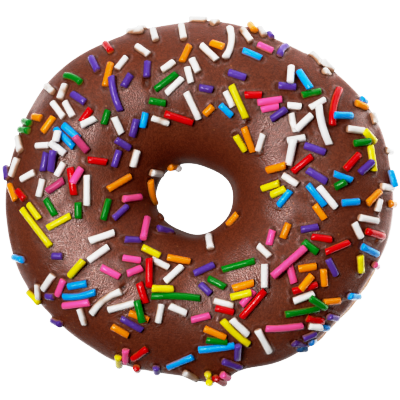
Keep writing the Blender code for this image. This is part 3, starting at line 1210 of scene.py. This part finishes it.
                # It leans: over the lower one at the crossing, and down to the skin at the far end.
                far = -1.0 if at[high] > 0 else 1.0
                tilt = 0.8 * needed[high] / (at[high] - far)
                lift[upper] = needed[high] - tilt * at[high], tilt
        calm = 1 - 0.5 * self.steep
        return np.clip(lift * calm[:, None], (0, -1.3), (2.8, 1.3))

    def axes(self, share: Array) -> Array:
        """Points on every sprinkle's axis.

        Formula: along the straight axis, lifted by the lift plus the tilt times the share, and to the side by
        the bow times (1 less the share squared).

        Args:
            share: places along the axis from -1 to 1.

        Returns:
            One row of points for each sprinkle.
        """
        centre, half = (self.start + self.end) / 2, (self.end - self.start) / 2
        side = np.cross(self.up, unit(half))
        share = share[None, :, None]
        straight = centre[:, None] + half[:, None] * share
        lifted = self.up[:, None] * (self.lift[:, 0, None, None] + self.lift[:, 1, None, None] * share)
        return straight + lifted + side[:, None] * (self.bow[:, None, None] * (1 - share**2 - 1 / 3))

    def heights(self) -> Array:
        """How far each sprinkle is lifted off the skin at its middle."""
        return self.lift[:, 0]

    def build(self) -> list[bpy.types.Object]:
        """Makes one piece for each colour.

        Formula: rings of points round each bowed axis. The two rings at each end are a little smaller and
        nearly flat across, as a broken or cut end is, and a point closes each end.

        Returns:
            The pieces.
        """
        dice = np.random.default_rng(5)
        count = len(self.rods)
        length = np.linalg.norm(self.end - self.start, axis=-1)
        edge = 1 - 2 * 0.13 / length
        share = np.stack((-np.ones(count), -edge, -edge / 2, 0 * edge, edge / 2, edge, np.ones(count)), axis=1)
        size = np.tile(np.array((0.84, 1.0, 1.0, 1.0, 1.0, 1.0, 0.84)), (count, 1))
        size = size * (1 + dice.uniform(-0.018, 0.018, size.shape)) * self.radii[:, None]
        centre, half = (self.start + self.end) / 2, (self.end - self.start) / 2
        along = unit(half)
        side = np.cross(self.up, along)
        lifted = self.lift[:, 0, None] + self.lift[:, 1, None] * share
        off_side = self.bow[:, None] * (1 - share**2 - 1 / 3)
        spine = (
            centre[:, None]
            + half[:, None] * share[..., None]
            + self.up[:, None] * lifted[..., None]
            + side[:, None] * off_side[..., None]
        )
        angle = np.linspace(0, 2 * math.pi, self.sides, endpoint=False) + dice.uniform(0, 1, count)[:, None]
        slant = dice.uniform(-0.14, 0.14, (count, 2))
        ends = np.array((1, 0.9, 0.3, 0, 0.3, 0.9, 1))
        leaning = (slant[:, None, None, 0] * np.cos(angle)[:, None] + slant[:, None, None, 1] * np.sin(angle)[:, None])
        rings = (
            spine[:, :, None]
            + size[:, :, None, None]
            * (
                np.cos(angle)[:, None, :, None] * side[:, None, None]
                + np.sin(angle)[:, None, :, None] * self.up[:, None, None]
            )
            + along[:, None, None] * (leaning * ends[None, :, None] * np.sign(share)[..., None])[..., None]
        )
        tips = np.stack((spine[:, 0] - along * 0.05, spine[:, -1] + along * 0.05), axis=1)
        points = np.concatenate((rings.reshape(count, -1, 3), tips), axis=1)
        quads, caps = self._faces()
        marks = self._marks(points, dice)
        pieces = []
        for sugar in Sugar:
            mine = np.array([rod.sugar is sugar for rod in self.rods])
            offsets = (np.arange(mine.sum()) * points.shape[1])[:, None, None]
            faces = [(quads + offsets).reshape(-1, 4), (caps + offsets).reshape(-1, 3)]
            piece = piece_from(
                "sprinkles_" + sugar.word, points[mine], faces, GlazedSugar(sugar).made()
            )
            give_marks(piece, marks[mine])
            pieces.append(piece)
        return pieces

    def _faces(self) -> tuple[Array, Array]:
        """Quads and end triangles of one sprinkle, by its own point numbers."""
        ring = np.arange(7 * self.sides).reshape(7, self.sides)
        beside = np.roll(ring, -1, axis=1)
        quads = np.stack((ring[:-1], ring[1:], beside[1:], beside[:-1]), axis=-1).reshape(-1, 4)
        tip = 7 * self.sides
        low = np.stack((ring[0], beside[0], np.full(self.sides, tip)), axis=-1)
        high = np.stack((beside[-1], ring[-1], np.full(self.sides, tip + 1)), axis=-1)
        return quads[:, ::-1], np.concatenate((low, high))[:, ::-1]

    def _marks(self, points: Array, dice: np.random.Generator) -> Array:
        """The stain and painted shade near the frosting, the smear and painted shade over all, and each sprinkle's
        lightness.

        Args:
            points: the points of every sprinkle.
            dice: the seeded chance.

        Returns:
            Three values for each point.
        """
        count = len(self.rods)
        flat = points.reshape(-1, 3)
        turn, roll = self.form.under(flat[:, :2], 0.3)
        skin = self.form.on_frosting(turn, roll)
        normal = self.form.normals(turn, roll)
        above = ((flat - skin) * normal).sum(-1).reshape(count, -1)
        patchy = 0.5 + 0.5 * Unevenness(2.2, 21).at(flat).reshape(count, -1)
        pale = np.array([1.0 if rod.sugar is Sugar.WHITE else 0.6 for rod in self.rods])[:, None]
        reach = (0.68 + 0.55 * patchy * dice.uniform(0.2, 1, count)[:, None]) * pale
        # Brown near the frosting: partly its stain, partly painted shade and bounce light from it.
        stain_and_shade = (1 - smooth_step(above / reach, 0.6, 1.25)) * 0.9
        # Dark film: partly frosting smear, partly painted shade on sprinkles in shadow.
        smear_and_shade = np.array([rod.smear_and_shade for rod in self.rods])[:, None] * (0.8 + 0.4 * patchy)
        tint = dice.uniform(0, 1, count)[:, None] * np.ones_like(above)
        return np.stack((stain_and_shade, np.clip(smear_and_shade, 0, 1), tint), axis=-1)


# ---------------------------------------------------------------------------------------------------------
# Frosting and dough
# ---------------------------------------------------------------------------------------------------------


@dataclass(frozen=True)
class Dent:
    """A hollow or a lump in the frosting, along a short line.

    Attributes:
        x0, y0, x1, y1: the line's ends in plan, in mm.
        radius: how wide it is each way.
        height: how high it stands, or how deep it is if below 0.
        painted_shade: how much shade is painted inside it, from 0 to 1.
    """

    x0: float
    y0: float
    x1: float
    y1: float
    radius: float
    height: float
    painted_shade: float = 0.0


DENTS: tuple[Dent, ...] = (
    # The empty bed of a sprinkle that fell off, a groove, and two burst air bubbles.
    Dent(-12.0, 28.6, -12.1, 26.7, 0.85, -0.65, 0.35),
    Dent(25.9, 17.3, 26.7, 15.3, 0.5, -0.3, 0.1),
    Dent(11.7, 18.1, 11.7, 18.2, 0.5, -0.7, 0.9),
    Dent(-17.4, -20.0, -17.4, -20.1, 0.55, -0.8, 1.0),
    # A lump and a notch at the hole, and a small lump at the outer edge.
    Dent(-9.4, -2.6, -9.2, -3.6, 0.9, 0.5),
    Dent(6.9, 3.4, 7.1, 3.6, 0.6, -0.5),
    Dent(41.3, -9.3, 41.6, -9.5, 0.6, 0.5),
)


@dataclass(frozen=True)
class Island:
    """A place where the frosting set smooth, so that it shines.

    Attributes:
        x, y: its middle, in the layout's mm.
        radius: how wide it is each way.
        gloss: how smooth it is, from 0 to 1.
    """

    x: float
    y: float
    radius: float
    gloss: float


ISLANDS: tuple[Island, ...] = (
    Island(-25.3, 15.8, 5.0, 0.8),
    Island(-29.9, 8.8, 4.0, 0.8),
    Island(-33.4, 1.3, 4.5, 0.8),
    Island(-28.8, -9.2, 8.0, 1.0),
    Island(-22.4, -20.2, 7.0, 1.0),
    Island(-14.8, -22.7, 5.0, 0.9),
    Island(0.2, -23.1, 7.0, 0.6),
    Island(10.7, -17.3, 7.0, 1.0),
    Island(19.4, -2.2, 5.0, 0.55),
    Island(17.0, 13.5, 7.0, 0.85),
    Island(29.8, 3.0, 3.0, 0.5),
    Island(27.5, 13.5, 3.0, 0.5),
    Island(-15.4, 22.8, 6.0, 0.5),
    Island(-5.6, 25.1, 5.0, 0.5),
    Island(-36.4, 22.2, 4.5, 0.9),
    Island(39.0, 18.7, 5.0, 0.8),
)


@dataclass
class FrostingCap:
    """The chocolate frosting: a closed skin over the dough, with a rounded lip, drawn up round each sprinkle.

    Attributes:
        form: the doughnut's form.
        bed: the sprinkles that stand in it.
        turns: how many sections round the ring.
        skin_rows: how many points from lip to lip.
        under_rows: how many points along the underside.
    """

    form: RingForm
    bed: SprinkleBed
    turns: int = 600
    skin_rows: int = 150
    under_rows: int = 12

    def build(self) -> bpy.types.Object:
        """Makes the piece.

        Formula: the skin stands off the dough by the cover plus the small unevenness, at rolls that run from lip
        to lip by arc. The underside is inside the dough by 0.2 mm and runs back.

        Returns:
            The piece.
        """
        turn = np.linspace(0, 2 * math.pi, self.turns, endpoint=False)[:, None]
        outer, inner = self.form.lips(turn)
        share = np.linspace(0, 1, self.skin_rows)[None]
        # Closer stations at both lips, where the skin bends most.
        eased = share - 0.075 * np.sin(2 * math.pi * share)
        roll = outer + (inner - outer) * eased
        base = self.form.on_frosting(turn, roll)
        normal = self.form.normals(turn, roll)
        fade = smooth_step(np.minimum(eased, 1 - eased), 0.0, 0.03)
        raise_by, painted_shade, gloss = self._relief(base, normal)
        skin = base + normal * (raise_by * fade)[..., None]
        back = np.linspace(1, 0, self.under_rows)[None]
        under_roll = outer + (inner - outer) * back
        depth = np.where((back == 0) | (back == 1), 0.22, -0.2)
        under = self.form.raised(turn, under_roll, depth)
        points = np.concatenate((skin, under), axis=1)
        piece = piece_from(
            "chocolate_frosting_cap",
            points,
            [closed_grid(*points.shape[:2])],
            ChocolateFrosting().made(),
        )
        # Red mark: painted shade. Green mark: how smooth the skin is.
        marks = np.stack((painted_shade, gloss), axis=-1)
        give_marks(piece, np.concatenate((marks, np.zeros((*under.shape[:2], 2))), axis=1))
        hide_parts("frosting")
        return piece

    def _islands(self, base: Array, normal: Array) -> Array:
        """How smooth the skin is: the tallest of the islands' soft discs, and smooth on the steep rims."""
        gloss = np.zeros(base.shape[:-1])
        wander = 1 + 0.35 * Unevenness(6, 41).at(base)
        for island in ISLANDS:
            place = np.array((island.x, island.y)) + self.form.layout_origin()
            away = np.linalg.norm(base[..., :2] - place, axis=-1) / island.radius * wander
            gloss = np.maximum(gloss, island.gloss * (1 - smooth_step(away, 0.35, 1.15)))
        return np.maximum(gloss, 0.85 * smooth_step(1 - normal[..., 2], 0.45, 0.8))

    def _relief(self, base: Array, normal: Array) -> tuple[Array, Array, Array]:
        """The small unevenness of the skin.

        Formula: slow thickness changes, plus for each sprinkle a collar that climbs its side, a bell curve of the
        distance from its axis, broken up along it, plus the dents. Shade is painted in a thin ring right beside
        each sprinkle and inside the dark dents.

        Args:
            base: the smooth skin.
            normal: its normals.

        Returns:
            The height to add at each point, how much shade is painted there, and how smooth.
        """
        height = 0.12 * Unevenness(14, 3).at(base) + 0.015 * Unevenness(5, 4).at(base)
        painted_shade = np.zeros_like(height)
        gloss = self._islands(base, normal)
        broken = 0.5 + 0.5 * Unevenness(2.6, 8).at(base)
        collar = np.zeros_like(height)
        axis = self.bed.axes(np.linspace(-1, 1, 5))
        for number, line in enumerate(axis):
            close = np.abs(base - line.mean(axis=0)).max(axis=-1) < 8
            near = base[close]
            away = np.full(len(near), 99.0)
            for first, second in zip(line[:-1], line[1:]):
                along = second - first
                share = np.clip(((near - first) @ along) / (along @ along), 0, 1)
                offset = near - (first + share[:, None] * along)
                offset -= normal[close] * (offset * normal[close]).sum(-1)[:, None]
                away = np.minimum(away, np.linalg.norm(offset, axis=-1))
            gap = away - self.bed.radii[number]
            settled = 1 - smooth_step(np.array(self.bed.heights()[number]), 0.2, 0.9)
            climb = 0.24 * np.exp(-((np.maximum(gap, 0) / 0.28) ** 2)) * (0.2 + 0.8 * broken[close])
            climb = np.where(gap < -0.15, -0.15, climb)
            collar[close] = np.where(gap < 1.2, np.maximum(collar[close], climb * settled), collar[close])
            # Painted contact shade: a thin dark ring right beside each settled sprinkle.
            shade = 0.35 * settled * (1 - smooth_step(gap, 0.0, 0.28))
            painted_shade[close] = np.maximum(painted_shade[close], shade)
            shiny = 0.9 * settled * broken[close] * np.exp(-(((gap - 0.35) / 0.25) ** 2))
            gloss[close] = np.maximum(gloss[close], shiny)
        for dent in DENTS:
            ends = np.array(((dent.x0, dent.y0), (dent.x1, dent.y1))) + self.form.layout_origin()
            turn, roll = self.form.under(self.bed.sight.dropped(ends, np.full(2, 27.0)), 0.0)
            first, second = self.form.on_frosting(turn, roll)
            along = second - first
            share = np.clip(((base - first) @ along) / (along @ along), 0, 1)
            away = np.linalg.norm(base - (first + share[..., None] * along), axis=-1) / dent.radius
            inside = 1 - smooth_step(away, 0.55, 1.25)
            height += dent.height * inside
            # Painted shade inside the dent's hollow.
            painted_shade = np.maximum(painted_shade, dent.painted_shade * (1 - smooth_step(away, 0.4, 1.0)))
        return height + collar, painted_shade, gloss


@dataclass
class DoughRing:
    """The fried dough ring, with a flat foot, under the frosting.

    Attributes:
        form: the doughnut's form.
        turns: how many sections round the ring.
        belly: how far the dough swells out under the frosting on one side, in mm.
        belly_turn, belly_half: that side's turn and half-width, in degrees.
        belly_height, belly_reach: how high the swelling is, and how far it reaches up and down, in mm.
    """

    form: RingForm
    turns: int = 480
    belly: float = 1.0
    belly_turn: float = -32.0
    belly_half: float = 42.0
    belly_height: float = 10.5
    belly_reach: float = 4.5

    def build(self) -> bpy.types.Object:
        """Makes the piece.

        Formula: the form's own closed section, round the dome and the lower corners, then the flat foot. The
        crust is uneven by slow lumps and faint creases, which fade out at the foot, and swells by a bell curve of
        turn and height on the side where it shows beyond the frosting.

        Returns:
            The piece.
        """
        turn = np.linspace(0, 2 * math.pi, self.turns, endpoint=False)[:, None]
        quarter = math.pi / 2
        rolls = np.concatenate(
            (
                np.linspace(0, 2 * quarter, 42, endpoint=False),
                np.linspace(2 * quarter, 3 * quarter, 34, endpoint=False),
                np.linspace(3 * quarter + 1e-6, 4 * quarter, 34, endpoint=False),
            )
        )[None]
        points = self.form.raised(turn, rolls, 0.0)
        normal = self.form.normals(turn, rolls)
        lumps = 0.22 * Unevenness(11, 31).at(points) + 0.09 * Unevenness(3.2, 32).at(points)
        creases = -0.12 * np.exp(-((Unevenness(6, 33).at(points) / 0.09) ** 2))
        clear = smooth_step(points[..., 2], 0.4, 3.0)
        hidden = 1 - smooth_step(points[..., 2], 14.5, 17.5)
        around = (np.degrees(turn) - self.belly_turn + 180) % 360 - 180
        level = (points[..., 2] - self.belly_height) / self.belly_reach
        belly = self.belly * np.exp(-((around / self.belly_half) ** 2) - level**2) * (np.cos(rolls) > 0)
        relief = (lumps + creases) * clear * hidden + belly
        points = points + normal * relief[..., None]
        points[..., 2] = np.maximum(points[..., 2], 0.0)
        piece = piece_from(
            "fried_dough_ring", points, [closed_grid(*points.shape[:2])], FriedCrust().made()
        )
        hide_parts("dough")
        return piece


# ---------------------------------------------------------------------------------------------------------
# Studio
# ---------------------------------------------------------------------------------------------------------


@dataclass(frozen=True)
class SoftBox:
    """A round or oval soft light.

    Attributes:
        name: its name.
        azimuth: the way it stands, in degrees from +X towards +Y.
        tilt: how far from straight above it is, in degrees.
        distance: how far away, in metres.
        width: how wide it is, in metres.
        height: how high it is, in metres.
        radiance: how bright its face is.
        colour: its sRGB colour.
    """

    name: str
    azimuth: float
    tilt: float
    distance: float
    width: float
    height: float
    radiance: float
    colour: str = "FFFFFF"

    def build(self, aim: Vector) -> None:
        """Makes the light, pointing at aim: its watts are radiance times pi times its area."""
        around, down = math.radians(self.azimuth), math.radians(self.tilt)
        way = Vector((math.sin(down) * math.cos(around), math.sin(down) * math.sin(around), math.cos(down)))
        lamp = bpy.data.lights.new(self.name, "AREA")
        lamp.shape, lamp.size, lamp.size_y = "ELLIPSE", self.width, self.height
        lamp.energy = self.radiance * math.pi * math.pi * self.width * self.height / 4
        lamp.color = linear(self.colour)[:3]
        holder = bpy.data.objects.new(self.name, lamp)
        across = Vector((0, 0, 1)).cross(way).normalized()
        turned = Matrix((across, way.cross(across), way)).transposed().to_4x4()
        holder.matrix_world = Matrix.Translation(aim + way * self.distance) @ turned
        bpy.context.scene.collection.objects.link(holder)


@dataclass(frozen=True)
class Studio:
    """A white sweep, soft lights from above, and a long lens that looks nearly straight down.

    Attributes:
        azimuth: which side the lens leans to, in degrees from the front towards +X.
        elevation: how high it looks from, in degrees.
        distance: how far it is, in metres.
        centre: the layout's own zero, in mm.
        aim_height: how high the point that it looks at is, in mm.
        span: the width that the picture takes in at the aim's height, in mm.
        floor_size: half the floor's width, in metres.
        floor_colour: the floor's sRGB colour.
        shown_white: how bright the floor and the room are where the camera sees them.
        floor_glow: how much light the floor gives the object on average.
        floor_sway: how much more it gives from the brighter side, and less from the other.
        floor_bright: the brighter side, in degrees from +X towards +Y.
        hole_glow: how much light it gives under the hole.
        mirrored_fields: azimuth, glow and reach in metres of the floor's bright fields that the rims mirror.
        tone: the picture's tone curve: pairs of a linear value in and out.
    """

    azimuth: float = 40.0
    elevation: float = 87.0
    distance: float = 0.68
    centre: tuple[float, float] = (0.0, 0.0)
    aim_height: float = 14.0
    span: float = 92.8
    floor_size: float = 1.6
    floor_colour: str = "585858"
    shown_white: float = 1.7
    floor_glow: float = 0.4
    floor_sway: float = 1.2
    floor_bright: float = 45.0
    hole_glow: float = 0.3
    mirrored_fields: tuple[tuple[float, float, float], ...] = ((-36.0, 1.7, 0.18), (20.0, 1.0, 0.4), (185.0, 2.4, 0.085))
    tone: tuple[tuple[float, float], ...] = (
        (0.0, 0.0),
        (0.01, 0.002),
        (0.02, 0.009),
        (0.03, 0.018),
        (0.05, 0.039),
        (0.08, 0.073),
        (0.15, 0.15),
        (0.25, 0.29),
        (0.4, 0.53),
        (0.6, 0.74),
        (0.8, 0.85),
        (1.0, 0.91),
        (1.3, 0.97),
        (1.6, 1.0),
    )
    lights: tuple[SoftBox, ...] = (
        SoftBox("overhead_softbox", 168, 17, 1.0, 0.24, 0.24, 31.0),
        SoftBox("left_softbox", 180, 34, 1.0, 0.5, 0.5, 5.4),
        SoftBox("high_fill", 135, 34, 1.0, 0.5, 0.5, 2.0),
        SoftBox("back_softbox", 62, 66, 1.0, 1.3, 0.9, 1.5),
    )

    def aim(self) -> Vector:
        """The point the camera looks at, in metres: a quarter of a millimetre off the layout's zero."""
        return Vector((self.centre[0] + 0.23, self.centre[1] + 0.12, self.aim_height)) * MM

    def eye(self) -> Vector:
        """The camera's place in metres."""
        around, up = math.radians(self.azimuth), math.radians(self.elevation)
        back = Vector((math.sin(around) * math.cos(up), -math.cos(around) * math.cos(up), math.sin(up)))
        return self.aim() + back * self.distance

    def sight(self) -> Sight:
        """The place that the layout is seen from, in mm."""
        eye = self.eye() / MM
        return Sight(eye.x, eye.y, eye.z)

    def build(self) -> None:
        """Makes the camera, the lights, the floor and the surroundings."""
        self._camera()
        for light in self.lights:
            light.build(self.aim())
        self._floor()
        self._surroundings()
        self._develop()

    def _develop(self) -> None:
        """Sets how the picture is developed: deep browns a little deeper, and the whites rolled off softly."""
        view = bpy.context.scene.view_settings
        view.view_transform = "Standard"
        view.use_curve_mapping = True
        mapping = view.curve_mapping
        mapping.use_clip = True
        mapping.clip_max_x = mapping.clip_max_y = 2.0
        points = mapping.curves[3].points
        points[0].location, points[1].location = self.tone[0], self.tone[-1]
        for place in self.tone[1:-1]:
            points.new(*place)
        mapping.update()

    def _camera(self) -> None:
        """Sets the camera: looks at the aim, with +Y up in the picture."""
        data = bpy.data.cameras.new("long_lens")
        data.sensor_width = 36.0
        data.lens = data.sensor_width * self.distance / (self.span * MM)
        data.clip_start, data.clip_end = 0.05, 20.0
        holder = bpy.data.objects.new("long_lens", data)
        back = (self.eye() - self.aim()).normalized()
        right = Vector((0, 1, 0)).cross(back).normalized()
        up = back.cross(right)
        turned = Matrix((right, up, back)).transposed().to_4x4()
        holder.matrix_world = Matrix.Translation(self.eye()) @ turned
        bpy.context.scene.collection.objects.link(holder)
        bpy.context.scene.camera = holder

    def _floor(self) -> None:
        """Lays the white floor. It shows white, gives the rims their reflection, and lights the sides a little."""
        half = self.floor_size
        mesh = bpy.data.meshes.new("floor")
        mesh.from_pydata(
            [(-half, -half, 0), (half, -half, 0), (half, half, 0), (-half, half, 0)], [], [(0, 1, 2, 3)]
        )
        floor = bpy.data.objects.new("floor", mesh)
        material, tree, shader = new_material("white_acrylic_sheet")
        place = add_node(tree, "TexCoord").outputs["Object"]
        distance = add_node(tree, "VectorMath", {0: place}, operation="LENGTH").outputs["Value"]
        # Backlit from one side: its glow follows the cosine of the turn from the brighter side.
        bright = math.radians(self.floor_bright)
        sway = tuple(self.floor_sway * part for part in (math.cos(bright), math.sin(bright), 0.0))
        way = add_node(tree, "VectorMath", {0: place}, operation="NORMALIZE")
        turned = add_node(tree, "VectorMath", {0: way.outputs[0], 1: sway}, operation="DOT_PRODUCT")
        around = add_node(tree, "Math", {0: turned.outputs["Value"], 1: self.floor_glow})
        lit = add_node(tree, "Math", {0: around.outputs[0], 1: 0.0}, operation="MAXIMUM")
        glow = add_node(
            tree,
            "MapRange",
            {"Value": distance, "From Min": 0.012, "From Max": 0.03, "To Min": self.hole_glow, "To Max": lit.outputs[0]},
        )
        # What the rims mirror: bright fields beyond them, wide ones and one close by on the other side.
        mirrored = glow.outputs["Result"]
        path = add_node(tree, "LightPath")
        clear = add_node(tree, "MapRange", {"Value": distance, "From Min": 0.022, "From Max": 0.03})
        glossy = add_node(
            tree, "Math", {0: path.outputs["Is Glossy Ray"], 1: clear.outputs["Result"]}, operation="MULTIPLY"
        )
        for azimuth, glow_here, reach in self.mirrored_fields:
            toward = math.radians(azimuth)
            facing = add_node(
                tree,
                "VectorMath",
                {0: way.outputs[0], 1: (glow_here * math.cos(toward), glow_here * math.sin(toward), 0.0)},
                operation="DOT_PRODUCT",
            )
            kept = add_node(tree, "Math", {0: facing.outputs["Value"], 1: 0.0}, operation="MAXIMUM")
            fading = add_node(
                tree,
                "MapRange",
                {"Value": distance, "From Min": reach * 0.7, "From Max": reach, "To Min": 1.0, "To Max": 0.0},
            )
            field_here = add_node(
                tree, "Math", {0: kept.outputs[0], 1: fading.outputs["Result"]}, operation="MULTIPLY"
            )
            mirrored = add_node(
                tree,
                "Math",
                {0: field_here.outputs[0], 1: glossy.outputs[0], 2: mirrored},
                operation="MULTIPLY_ADD",
            ).outputs[0]
        strength = add_node(
            tree,
            "MapRange",
            {"Value": path.outputs["Is Camera Ray"], "To Min": mirrored, "To Max": self.shown_white},
        )
        shader.inputs["Base Color"].default_value = linear(self.floor_colour)
        shader.inputs["Roughness"].default_value = 0.7
        shader.inputs["Emission Color"].default_value = (1, 1, 1, 1)
        tree.links.new(strength.outputs["Result"], shader.inputs["Emission Strength"])
        mesh.materials.append(material)
        bpy.context.scene.collection.objects.link(floor)

    def _surroundings(self) -> None:
        """Surrounds the set with a white backdrop that lights it less than it shows."""
        world = bpy.data.worlds.new("white_room")
        world.use_nodes = True
        tree = world.node_tree
        tree.nodes.clear()
        seen = add_node(tree, "LightPath").outputs["Is Camera Ray"]
        strength = add_node(tree, "MapRange", {"Value": seen, "To Min": 0.02, "To Max": self.shown_white})
        backdrop = add_node(tree, "Background", {"Color": (1, 1, 1, 1), "Strength": strength.outputs["Result"]})
        add_node(tree, "OutputWorld", {"Surface": backdrop.outputs[0]})
        bpy.context.scene.world = world


def main() -> None:
    """Builds the doughnut and its studio."""
    logging.basicConfig(level=logging.INFO, format="%(name)s: %(message)s")
    form = fitted_form()
    studio = Studio(centre=form.layout_origin())
    studio.build()
    log.info("form shifted by %.2f, %.2f mm", *form.shift)
    bed = SprinkleBed(form, studio.sight())
    DoughRing(form).build()
    FrostingCap(form, bed).build()
    pieces = bed.build()
    log.info("%d sprinkles in %d colours", len(bed.rods), len(pieces))


if __name__ == "__main__":
    main()
